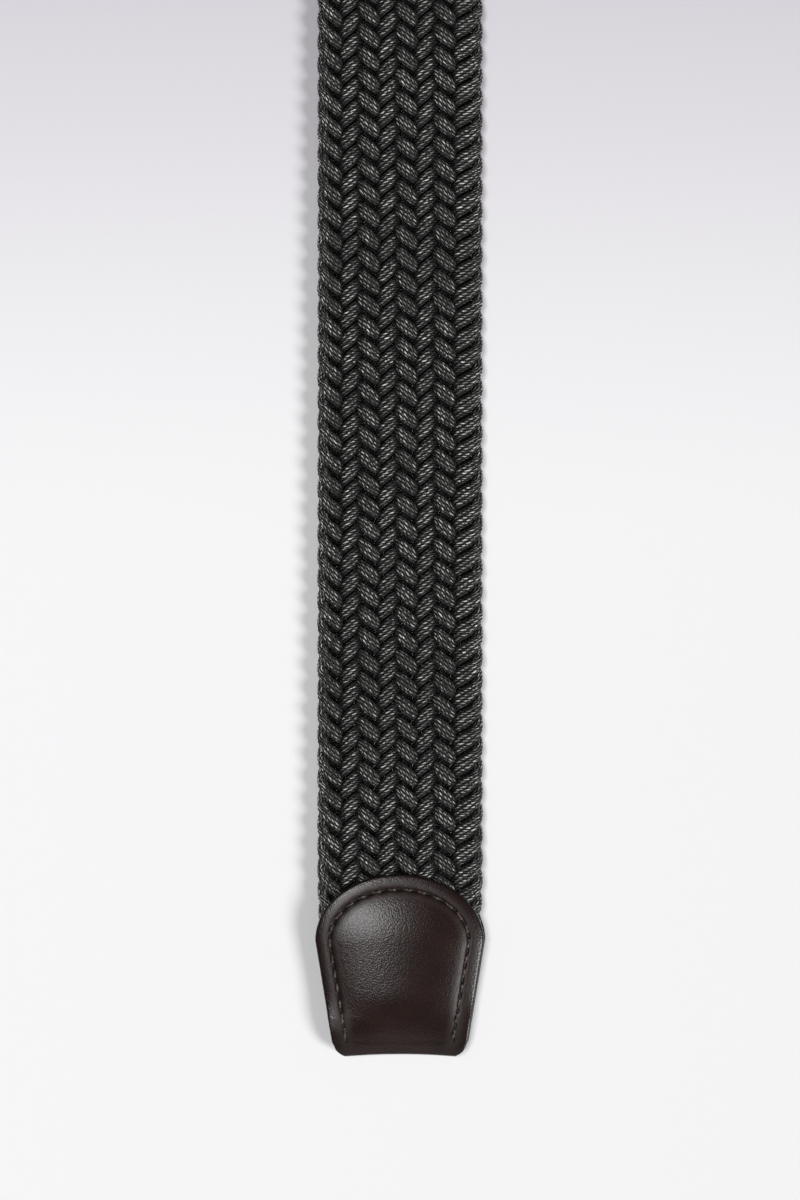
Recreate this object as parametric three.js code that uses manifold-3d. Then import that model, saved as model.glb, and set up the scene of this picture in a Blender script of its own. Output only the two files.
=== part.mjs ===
// A braided stretch belt that lies flat and straight: a flat plaited strap, a leather tip folded over its
// free end, and a leather chape that carries a plain buckle at its other end.
// Millimetres, +Z up, X across the belt, Y along it. The tip's end lies at -Y and the buckle's front bar at
// +Y, with the middle of the whole length at the origin and the undersides at Z 0.

import * as THREE from "three";
import { mergeVertices } from "three/addons/utils/BufferGeometryUtils.js";
import Module from "manifold-3d";

const wasm = await Module();
wasm.setup();

// Driving dimensions of the whole belt
const BELT_LENGTH = 1100; // from the tip's end to the buckle's front bar
const LEATHER_THICKNESS = 1.2;
const FIT_GAP = 0.3; // between the strap and the leather round it

// The plaited strap
const STRAP_WIDTH = 35;
const STRAP_THICKNESS = 4;
const STRAP_EDGE_HEIGHT = 2; // what is left upright at the rounded edges
const RIB_COUNT = 8; // the plait's columns of crossings, which stand up as ribs on both faces
const RIB_DEPTH = 0.45;
const RIB_STEPS = 4; // facets across a rib
const MIDDLE_ROWS = 8; // rows of facets along the straight stretch
const RAMP_LENGTH = 18; // over which the strap rises from the floor into the leather
const RAMP_ROWS = 4;
const STRAP_SIDE_MARGIN = 0.9; // from the strap's edge to the leather's, along the stitched sides

// The leather tip, one strip folded round the strap's free end
const TIP = {
  shoulder: 0.509 * STRAP_WIDTH, // half width where the sides meet the round cap
  foldSide: 0.394 * STRAP_WIDTH, // half width where the sides end, beside the fold
  foldCrest: 0.337 * STRAP_WIDTH, // half width at the crest of the fold
  sideLength: 0.706 * STRAP_WIDTH, // from the end to the shoulder
  capLength: 0.403 * STRAP_WIDTH, // from the shoulder to the top of the cap
  gapAtFold: 0.5 * STRAP_THICKNESS, // clear height between the panels
  gapAtCap: 0.925 * STRAP_THICKNESS,
  crown: 0.5, // by which the front panel swells over the strap
  pinch: 0.7, // by which the panels close up along the stitched sides
  bow: 0.5, // by which the fold's crest is hollowed between its corners
};
const TIP_STRAP_GAP = 1.8; // left in the fold before the cut end of the strap

// The buckle, one solid: a frame, the heel bar that the chape is folded round, and a prong that lies closed
const HEEL_BAR_RADIUS = 1.3;
const HEEL_BAR_GAP = 0.3;
const FRAME_SIDE_GAP = 1.2; // from the strap's edge to the frame's arm
const FRAME_BAR = 4.6;
const FRAME_HEIGHT = 4.5;
const FRAME_EDGE = 0.7; // rounding of the frame's long edges
const FRAME_CORNER = 1.4; // rounding of the window's corners
const WINDOW_LENGTH = 24; // from the chape's fold to the front bar
const PRONG_WIDTH = 3.6;
const PRONG_THICKNESS = 1.9;
const PRONG_EYE = 1.2; // wall of the prong's eye round the heel bar
const PRONG_SEAT = 0.3; // by which the prong sits in the front bar's top
const PRONG_OVERHANG = 0.8; // left free at the front bar's outer edge
const PRONG_SLOT_GAP = 0.6; // round the prong, in the chape's slot

// The leather chape, folded round the heel bar
const CHAPE = {
  shoulder: 0.5 * STRAP_WIDTH,
  foldSide: 0.491 * STRAP_WIDTH,
  foldCrest: 0.483 * STRAP_WIDTH,
  sideLength: 1.086 * STRAP_WIDTH,
  capLength: 0.4 * STRAP_WIDTH,
  gapAtFold: 2 * (HEEL_BAR_RADIUS + HEEL_BAR_GAP),
  gapAtCap: 0.925 * STRAP_THICKNESS,
  crown: 0.4,
  pinch: 0.4,
  bow: 0,
};
const CHAPE_STRAP_GAP = 5; // from the prong's slot to the cut end of the strap

// Facets of each folded leather
const CAP_ROWS = 10;
const CAP_LAST = 0.06; // half width left at the last row of the cap, as a share of the shoulder
const SIDE_ROWS = 5;
const FOLD_ROWS = 8;
const LEATHER_COLUMNS = 14;

// Places along the belt
const TIP_END = -BELT_LENGTH / 2;
const BUCKLE_END = BELT_LENGTH / 2;
const CHAPE_CREST = BUCKLE_END - FRAME_BAR - WINDOW_LENGTH;
const HEEL_BAR_Y = CHAPE_CREST - LEATHER_THICKNESS - HEEL_BAR_GAP - HEEL_BAR_RADIUS;
const HEEL_BAR_Z = LEATHER_THICKNESS + HEEL_BAR_GAP + HEEL_BAR_RADIUS;
const FRAME_INNER_HALF = STRAP_WIDTH / 2 + FRAME_SIDE_GAP;
const PRONG_EYE_RADIUS = HEEL_BAR_RADIUS + PRONG_EYE;
const PRONG_SLOT_END = CHAPE_CREST - HEEL_BAR_Y + PRONG_EYE_RADIUS + PRONG_SLOT_GAP; // from the fold's crest
const TIP_STRAP_END = LEATHER_THICKNESS + TIP.bow + TIP.gapAtFold / 2 + TIP_STRAP_GAP; // from the tip's end
const CHAPE_STRAP_END = PRONG_SLOT_END + CHAPE_STRAP_GAP; // from the fold's crest

const COLOURS = { braid: 0x2c2c2a, leather: 0x2b1a17, metal: 0x8d8a84 };

const mix = (a, b, share) => a + (b - a) * share;

function smooth(from, to, value) {
  const share = Math.min(1, Math.max(0, (value - from) / (to - from)));
  return share * share * (3 - 2 * share);
}

// A closed solid between two skins, given as equal grids of points. The rows and columns of the first, which
// is the outer skin, turn so that its faces look out.
function slab(outer, inner) {
  const rows = outer.length;
  const columns = outer[0].length;
  const positions = [...outer.flat(), ...inner.flat()].flatMap((p) => [p.x, p.y, p.z]);
  const top = (row, column) => row * columns + column;
  const under = (row, column) => rows * columns + top(row, column);
  const index = [];
  const quad = (a, b, c, d) => index.push(a, b, c, a, c, d);
  for (let r = 0; r + 1 < rows; r++) {
    for (let c = 0; c + 1 < columns; c++) {
      quad(top(r, c), top(r, c + 1), top(r + 1, c + 1), top(r + 1, c));
      quad(under(r, c), under(r + 1, c), under(r + 1, c + 1), under(r, c + 1));
    }
    quad(top(r, 0), top(r + 1, 0), under(r + 1, 0), under(r, 0));
    quad(top(r + 1, columns - 1), top(r, columns - 1), under(r, columns - 1), under(r + 1, columns - 1));
  }
  for (let c = 0; c + 1 < columns; c++) {
    quad(top(0, c + 1), top(0, c), under(0, c), under(0, c + 1));
    quad(top(rows - 1, c), top(rows - 1, c + 1), under(rows - 1, c + 1), under(rows - 1, c));
  }
  const geometry = new THREE.BufferGeometry();
  geometry.setAttribute("position", new THREE.Float32BufferAttribute(positions, 3));
  geometry.setIndex(index);
  return geometry;
}

function solidOf(geometry) {
  geometry.deleteAttribute("normal");
  geometry.deleteAttribute("uv");
  const merged = mergeVertices(geometry, 1e-4);
  return new wasm.Manifold(
    new wasm.Mesh({
      numProp: 3,
      vertProperties: merged.attributes.position.array,
      triVerts: new Uint32Array(merged.index.array),
    }),
  );
}

function geometryOf(solid) {
  const mesh = solid.getMesh();
  const geometry = new THREE.BufferGeometry();
  geometry.setAttribute("position", new THREE.BufferAttribute(mesh.vertProperties, 3));
  geometry.setIndex(new THREE.BufferAttribute(mesh.triVerts, 1));
  return geometry;
}

// Half width of a leather panel at a distance from its folded end: straight sides, then a half ellipse.
function panelHalfWidth(wrap, distance) {
  if (distance <= wrap.sideLength) {
    return mix(wrap.foldSide, wrap.shoulder, distance / wrap.sideLength);
  }
  const share = Math.min(1, (distance - wrap.sideLength) / wrap.capLength);
  return wrap.shoulder * Math.sqrt(1 - share * share);
}

// Clear height between a leather's two panels. It grows from the fold to the cap, swells in the middle of the
// panel and, away from the fold, closes up towards its sides.
function pocketHeight(wrap, distance, x) {
  const length = wrap.sideLength + wrap.capLength;
  const along = Math.min(1, distance / length);
  const across = Math.min(1, Math.abs(x) / Math.max(panelHalfWidth(wrap, distance), 1e-6));
  const swell = 4 * along * (1 - along) * (1 - across * across) * wrap.crown;
  const pinched = wrap.pinch * smooth(0, wrap.sideLength / 2, distance);
  const side = Math.pow(Math.min(1, Math.abs(x) / wrap.shoulder), 4) * pinched;
  return mix(wrap.gapAtFold, wrap.gapAtCap, along) + swell - side;
}

// One skin of a folded leather, at a height off the pocket's wall: the front panel from its cap to the fold,
// round the fold, and the back panel out to its cap. The folded end is at Y 0 and the panels run towards +Y.
// Each row runs from +X to -X.
function leatherSkin(wrap, offset) {
  const panel = [];
  for (let i = 0; i <= CAP_ROWS; i++) {
    const half = mix(CAP_LAST, 1, Math.sin((i / CAP_ROWS) * Math.PI / 2));
    const distance = wrap.sideLength + wrap.capLength * Math.sqrt(1 - half * half);
    panel.push({ distance, half: wrap.shoulder * half });
  }
  const foldReach = LEATHER_THICKNESS + wrap.gapAtFold;
  for (let i = 1; i <= SIDE_ROWS; i++) {
    const distance = mix(wrap.sideLength, foldReach, i / SIDE_ROWS);
    panel.push({ distance, half: panelHalfWidth(wrap, distance) });
  }
  const shares = Array.from({ length: LEATHER_COLUMNS + 1 }, (_, c) =>
    Math.cos((c / LEATHER_COLUMNS) * Math.PI),
  );
  const front = panel.map(({ distance, half }) =>
    shares.map((share) => {
      const z = LEATHER_THICKNESS + pocketHeight(wrap, distance, share * half) + offset;
      return new THREE.Vector3(share * half, distance, z);
    }),
  );
  const fold = Array.from({ length: FOLD_ROWS + 1 }, (_, i) => {
    const turn = (i / FOLD_ROWS) * Math.PI;
    const half = wrap.foldSide - (wrap.foldSide - wrap.foldCrest) * Math.sin(turn) ** 2;
    return shares.map((share) => {
      const x = share * half;
      const radius = pocketHeight(wrap, 0, x) / 2;
      const crest = wrap.bow * (1 - share * share);
      const y = crest + LEATHER_THICKNESS + radius - (radius + offset) * Math.sin(turn);
      const z = LEATHER_THICKNESS + radius + (radius + offset) * Math.cos(turn);
      return new THREE.Vector3(x, y, z);
    });
  });
  const back = panel.toReversed().map(({ distance, half }) =>
    shares.map((share) => new THREE.Vector3(share * half, distance, LEATHER_THICKNESS - offset)),
  );
  return [...front, ...fold, ...back];
}

function foldedLeather(wrap) {
  return slab(leatherSkin(wrap, LEATHER_THICKNESS), leatherSkin(wrap, 0));
}

// How deep in a leather the strap is, from 1 inside it to 0 past the ramp, and its half width there
function endState(wrap, distance) {
  const length = wrap.sideLength + wrap.capLength;
  const inside = 1 - smooth(length, length + RAMP_LENGTH, distance);
  const covered = panelHalfWidth(wrap, Math.min(distance, wrap.sideLength)) - STRAP_SIDE_MARGIN;
  const freed = smooth(wrap.sideLength, length, distance);
  return { inside, half: mix(Math.min(covered, STRAP_WIDTH / 2), STRAP_WIDTH / 2, freed) };
}

// The strap's top and bottom rows of points at a place along the belt
function strapRow(y) {
  const fromTip = y - TIP_END;
  const fromCrest = CHAPE_CREST - y;
  const nearTip = fromTip < fromCrest;
  const wrap = nearTip ? TIP : CHAPE;
  const distance = nearTip ? fromTip : fromCrest;
  const { inside, half } = endState(wrap, distance);
  const floor = inside * (LEATHER_THICKNESS + FIT_GAP);
  const count = RIB_COUNT * RIB_STEPS;
  const top = [];
  const bottom = [];
  for (let i = 0; i <= count; i++) {
    const share = (2 * i) / count - 1;
    const x = share * half;
    const pressed = pocketHeight(wrap, distance, x) - 2 * FIT_GAP;
    const full = mix(STRAP_THICKNESS, pressed, inside);
    const rounded = Math.sqrt(1 - Math.abs(share) ** 6);
    const edge = Math.min(STRAP_EDGE_HEIGHT, pressed) / full;
    const ribPhase = (i % RIB_STEPS) / RIB_STEPS;
    const valley = RIB_DEPTH * (1 - 0.5 * inside) * (1 - Math.sin(ribPhase * Math.PI));
    const halfHeight = (full * mix(edge, 1, rounded)) / 2 - valley * rounded;
    top.push(new THREE.Vector3(x, y, floor + full / 2 + halfHeight));
    bottom.push(new THREE.Vector3(x, y, floor + full / 2 - halfHeight));
  }
  return { top, bottom };
}

// Places along the belt where the strap's shape changes: inside each leather, up its ramp, and in between
function strapPlaces() {
  const endPlaces = (wrap, start) => {
    const length = wrap.sideLength + wrap.capLength;
    const inside = [start, mix(start, wrap.sideLength, 0.5), wrap.sideLength];
    const cap = [0.35, 0.7, 1].map((share) => wrap.sideLength + share * wrap.capLength);
    const ramp = Array.from({ length: RAMP_ROWS }, (_, i) => length + ((i + 1) / RAMP_ROWS) * RAMP_LENGTH);
    return [...inside, ...cap, ...ramp];
  };
  const fromTip = endPlaces(TIP, TIP_STRAP_END).map((distance) => TIP_END + distance);
  const fromCrest = endPlaces(CHAPE, CHAPE_STRAP_END).map((distance) => CHAPE_CREST - distance);
  const [first, last] = [fromTip.at(-1), fromCrest.at(-1)];
  const middle = Array.from({ length: MIDDLE_ROWS - 1 }, (_, i) => mix(first, last, (i + 1) / MIDDLE_ROWS));
  return [...fromTip, ...middle, ...fromCrest.toReversed()];
}

function strap() {
  const rows = strapPlaces().map(strapRow);
  return slab(rows.map((row) => row.top), rows.map((row) => row.bottom));
}

// The chape has a slot through both panels at the middle of its fold, for the prong's eye.
function chape() {
  const past = LEATHER_THICKNESS; // beyond the fold's crest and both faces, so that the cut runs out
  const width = PRONG_WIDTH + 2 * PRONG_SLOT_GAP;
  const height = 2 * LEATHER_THICKNESS + CHAPE.gapAtCap + CHAPE.crown;
  const slot = new THREE.BoxGeometry(width, PRONG_SLOT_END + past, height + 2 * past);
  slot.translate(0, (PRONG_SLOT_END - past) / 2, height / 2);
  return geometryOf(solidOf(foldedLeather(CHAPE)).subtract(solidOf(slot)));
}

// The frame's outline seen from above: arms that end round at the heel bar, and a front bar with round
// corners
function frameOutline() {
  const arm = FRAME_BAR / 2;
  const armX = FRAME_INNER_HALF + arm;
  const cornerX = FRAME_INNER_HALF - FRAME_CORNER;
  const cornerY = BUCKLE_END - FRAME_BAR - FRAME_CORNER;
  const outerCorner = FRAME_CORNER + FRAME_BAR;
  const outline = new THREE.Shape();
  outline.absarc(-armX, HEEL_BAR_Y, arm, Math.PI, 2 * Math.PI, false);
  outline.absarc(-cornerX, cornerY, FRAME_CORNER, Math.PI, Math.PI / 2, true);
  outline.absarc(cornerX, cornerY, FRAME_CORNER, Math.PI / 2, 0, true);
  outline.absarc(armX, HEEL_BAR_Y, arm, Math.PI, 2 * Math.PI, false);
  outline.absarc(cornerX, cornerY, outerCorner, 0, Math.PI / 2, false);
  outline.absarc(-cornerX, cornerY, outerCorner, Math.PI / 2, Math.PI, false);
  outline.closePath();
  return outline;
}

function frame() {
  const geometry = new THREE.ExtrudeGeometry(frameOutline(), {
    depth: FRAME_HEIGHT - 2 * FRAME_EDGE,
    bevelThickness: FRAME_EDGE,
    bevelSize: FRAME_EDGE,
    bevelOffset: -FRAME_EDGE,
    bevelSegments: 3,
    curveSegments: 8,
  });
  return geometry.translate(0, 0, FRAME_EDGE);
}

function heelBar() {
  const length = 2 * FRAME_INNER_HALF + FRAME_BAR;
  const geometry = new THREE.CylinderGeometry(HEEL_BAR_RADIUS, HEEL_BAR_RADIUS, length, 20);
  return geometry.rotateZ(Math.PI / 2).translate(0, HEEL_BAR_Y, HEEL_BAR_Z);
}

// The prong seen from the side, as (along the belt, height): a round eye on the heel bar, a level arm, and a
// nose that curves down onto the front bar
function prong() {
  const eye = PRONG_EYE_RADIUS;
  const low = FRAME_HEIGHT - PRONG_SEAT;
  const high = low + PRONG_THICKNESS;
  const nose = BUCKLE_END - PRONG_OVERHANG;
  const leaves = Math.PI / 5; // angle on the eye, above level, where the arm's underside leaves it
  const side = new THREE.Shape();
  side.moveTo(nose, low);
  side.lineTo(nose, mix(low, high, 0.4));
  side.quadraticCurveTo(nose, high, nose - PRONG_THICKNESS, high);
  side.lineTo(HEEL_BAR_Y, HEEL_BAR_Z + eye);
  side.absarc(HEEL_BAR_Y, HEEL_BAR_Z, eye, Math.PI / 2, 2 * Math.PI + leaves, false);
  side.closePath();
  const edge = PRONG_SEAT;
  const geometry = new THREE.ExtrudeGeometry(side, {
    depth: PRONG_WIDTH - 2 * edge,
    bevelThickness: edge,
    bevelSize: edge,
    bevelOffset: -edge,
    bevelSegments: 2,
    curveSegments: 12,
  });
  // The drawing's axes (along, height, out of the page) become Y, Z and X.
  const upright = new THREE.Matrix4().makeBasis(
    new THREE.Vector3(0, 1, 0),
    new THREE.Vector3(0, 0, 1),
    new THREE.Vector3(1, 0, 0),
  );
  return geometry.applyMatrix4(upright).translate(edge - PRONG_WIDTH / 2, 0, 0);
}

function buckle() {
  const pieces = [frame(), heelBar(), prong()].map(solidOf);
  return geometryOf(pieces.reduce((whole, next) => whole.add(next)));
}

function piece(name, geometry, colour, roughness, metalness = 0) {
  const material = new THREE.MeshStandardMaterial({ color: colour, roughness, metalness });
  geometry.computeVertexNormals();
  const mesh = new THREE.Mesh(geometry, material);
  mesh.name = name;
  return mesh;
}

const belt = new THREE.Group();

belt.add(piece("braided_strap", strap(), COLOURS.braid, 0.7));

const tip = piece("leather_tip", foldedLeather(TIP), COLOURS.leather, 0.45);
tip.position.y = TIP_END;
belt.add(tip);

const chapeMesh = piece("leather_chape", chape(), COLOURS.leather, 0.45);
chapeMesh.rotation.z = Math.PI;
chapeMesh.position.y = CHAPE_CREST;
belt.add(chapeMesh);

belt.add(piece("buckle", buckle(), COLOURS.metal, 0.35, 1));

export default belt;
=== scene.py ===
"""The finished look of a braided stretch belt with a leather tip, a leather chape and a plain buckle.

Shapes are worked out in millimetres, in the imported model's own frame, and are stored in metres: +Y runs along
the belt towards the buckle, +Z up out of the front faces, and the undersides lie at Z 0.
"""

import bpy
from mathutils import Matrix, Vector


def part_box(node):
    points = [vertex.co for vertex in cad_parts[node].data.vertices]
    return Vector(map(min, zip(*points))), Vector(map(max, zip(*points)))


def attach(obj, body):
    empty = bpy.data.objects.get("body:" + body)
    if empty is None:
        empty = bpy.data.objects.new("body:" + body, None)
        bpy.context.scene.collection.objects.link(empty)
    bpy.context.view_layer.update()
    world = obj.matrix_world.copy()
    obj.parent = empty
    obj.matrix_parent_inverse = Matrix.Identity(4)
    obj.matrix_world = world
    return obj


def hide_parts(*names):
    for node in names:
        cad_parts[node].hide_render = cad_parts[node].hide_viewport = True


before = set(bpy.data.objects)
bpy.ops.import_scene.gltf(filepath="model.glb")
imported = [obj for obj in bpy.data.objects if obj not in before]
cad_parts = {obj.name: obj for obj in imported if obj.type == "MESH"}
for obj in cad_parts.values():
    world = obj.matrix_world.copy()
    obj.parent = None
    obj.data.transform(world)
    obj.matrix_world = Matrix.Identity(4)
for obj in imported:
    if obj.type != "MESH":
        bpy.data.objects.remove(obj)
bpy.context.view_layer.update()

import math
from types import SimpleNamespace

import bpy
import numpy as np
from mathutils import Vector

bl_info = {
    "name": "Braided belt",
    "version": (1, 0, 0),
    "blender": (4, 5, 0),
    "location": "View3D > Sidebar > Belt",
    "description": "Braids the strands, folds and stitches the leathers, and lights a braided stretch belt",
    "category": "Add Mesh",
}

MM = 0.001  # metres in a millimetre


def node_span(node):
    """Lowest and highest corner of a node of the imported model, in millimetres."""
    low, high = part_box(node)
    return np.array(low) / MM, np.array(high) / MM


STRAP_LOW, STRAP_HIGH = node_span("braided_strap")
TIP_LOW, TIP_HIGH = node_span("leather_tip")
CHAPE_LOW, CHAPE_HIGH = node_span("leather_chape")


class BeltSizes(bpy.types.PropertyGroup):
    """Sizes of the braid, the leathers and the seams."""

    strap_width: bpy.props.FloatProperty(
        name="Strap width",
        description="Width of the braid over its rounded edges",
        default=(STRAP_HIGH[0] - STRAP_LOW[0]) * MM,
        unit="LENGTH",
    )
    strap_thickness: bpy.props.FloatProperty(
        name="Strap thickness",
        description="Thickness of the braid where it lies free",
        default=4.0 * MM,
        unit="LENGTH",
    )
    strand_count: bpy.props.IntProperty(
        name="Strands",
        description="Number of strands in the flat braid, an odd number",
        default=17,
        min=5,
    )
    braid_period: bpy.props.FloatProperty(
        name="Braid period",
        description="Distance along the belt from one float to the next in the same column",
        default=4.727 * MM,
        unit="LENGTH",
    )
    strand_width: bpy.props.FloatProperty(
        name="Strand width",
        description="Width of a strand across its cords",
        default=2.8 * MM,
        unit="LENGTH",
    )
    cord_count: bpy.props.IntProperty(
        name="Cords round a strand",
        description="Twisted cords that show round a strand's section",
        default=10,
        min=3,
    )
    ply_pitch: bpy.props.FloatProperty(
        name="Ply pitch",
        description="Distance along a cord from one ply to the next",
        default=1.0 * MM,
        unit="LENGTH",
    )
    seam_inset: bpy.props.FloatProperty(
        name="Seam inset",
        description="Distance from the leather's edge to the row of stitches",
        default=3.1 * MM,
        unit="LENGTH",
    )
    stitch_pitch: bpy.props.FloatProperty(
        name="Stitch pitch",
        description="Distance from one stitch to the next",
        default=3.1 * MM,
        unit="LENGTH",
    )
    thread_diameter: bpy.props.FloatProperty(
        name="Thread diameter",
        description="Diameter of the sewing thread",
        default=0.55 * MM,
        unit="LENGTH",
    )


def colour_property(name, description, default):
    """A colour that a user may change, as linear red, green and blue."""
    return bpy.props.FloatVectorProperty(
        name=name, description=description, default=default, subtype="COLOR", size=3, min=0, max=1
    )


class BeltColours(bpy.types.PropertyGroup):
    """Base colours of the belt's finishes and of the floor, among them colours of painted highlights and
    painted shade.
    """

    yarn: colour_property("Yarn", "Dark grey of the braid's cords", (0.011, 0.011, 0.0104))
    # Painted highlight: the colour of the bright flecks on the yarn's ply crests.
    yarn_painted_highlight: colour_property("Yarn, light plies", "Grey of the lighter plies", (0.78, 0.78, 0.73))
    leather: colour_property("Leather", "Dark brown of the leather's grain", (0.0125, 0.0042, 0.0030))
    # Also paints the shade in the leather's stitch holes.
    edge_paint: colour_property("Edge paint", "Black paint on the leather's cut edges", (0.006, 0.005, 0.005))
    thread: colour_property("Thread", "Dark brown of the sewing thread", (0.012, 0.008, 0.0065))
    metal: colour_property("Metal", "Grey of the buckle", (0.50, 0.49, 0.47))
    floor: colour_property("Floor", "Pale surface that the belt lies on", (0.84, 0.84, 0.85))
    # Painted shade: the floor's colour away from the painted pool of light round the tip.
    floor_painted_shade: colour_property("Far floor", "The same surface away from the tip", (0.572, 0.538, 0.597))


def sizes_in_mm():
    """The scene's belt sizes, with lengths in millimetres."""
    sizes = bpy.context.scene.belt_sizes
    lengths = {}
    for name, kind in BeltSizes.__annotations__.items():
        value = getattr(sizes, name)
        lengths[name] = value if isinstance(value, int) else value / MM
    return SimpleNamespace(**lengths)


# Meshes


def smooth(low, high, value):
    """0 below low, 1 above high, and a cubic ease between them."""
    share = np.clip((value - low) / (high - low), 0, 1)
    return share * share * (3 - 2 * share)


def ease(low, high, value):
    """0 below low, 1 above high, and an ease between them that is even smoother at its ends."""
    share = np.clip((value - low) / (high - low), 0, 1)
    return share**3 * (10 - 15 * share + 6 * share**2)


def mix(first, second, share):
    """First where share is 0, second where it is 1, and in proportion between them."""
    return first + (second - first) * share


def add_mesh(name, points, faces, material, uv=None, shares=None):
    """A piece from its points in millimetres and a list of arrays of faces.

    uv gives each corner's place in the pattern, one array for each array of faces, and shares is a name and a
    value for each point.
    """
    corners = np.concatenate([part.ravel() for part in faces])
    counts = np.concatenate([np.full(len(part), part.shape[1]) for part in faces])
    mesh = bpy.data.meshes.new(name)
    mesh.vertices.add(len(points))
    mesh.vertices.foreach_set("co", (points * MM).astype(np.float32).ravel())
    mesh.loops.add(len(corners))
    mesh.loops.foreach_set("vertex_index", corners.astype(np.int32))
    mesh.polygons.add(len(counts))
    mesh.polygons.foreach_set("loop_start", (np.cumsum(counts) - counts).astype(np.int32))
    mesh.polygons.foreach_set("use_smooth", np.ones(len(counts), bool))
    if uv is not None:
        layer = mesh.uv_layers.new(name="pattern")
        places = np.concatenate([part.reshape(-1, 2) for part in uv])
        layer.data.foreach_set("uv", places.astype(np.float32).ravel())
    if shares is not None:
        attribute = mesh.attributes.new(shares[0], "FLOAT", "POINT")
        attribute.data.foreach_set("value", shares[1].astype(np.float32))
    mesh.update(calc_edges=True)
    mesh.validate()
    mesh.materials.append(material)
    piece = bpy.data.objects.new(name, mesh)
    bpy.context.scene.collection.objects.link(piece)
    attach(piece, "root")
    return piece


def tube_faces(rings, sides):
    """Quads of a tube that is given ring after ring, with each corner's ring and unwrapped side number."""
    ring, side = np.meshgrid(np.arange(rings - 1), np.arange(sides), indexing="ij")
    ring_of = np.stack([ring, ring + 1, ring + 1, ring], -1).reshape(-1, 4)
    side_of = np.stack([side, side, side + 1, side + 1], -1).reshape(-1, 4)
    return ring_of * sides + side_of % sides, ring_of, side_of


# The braid


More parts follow.
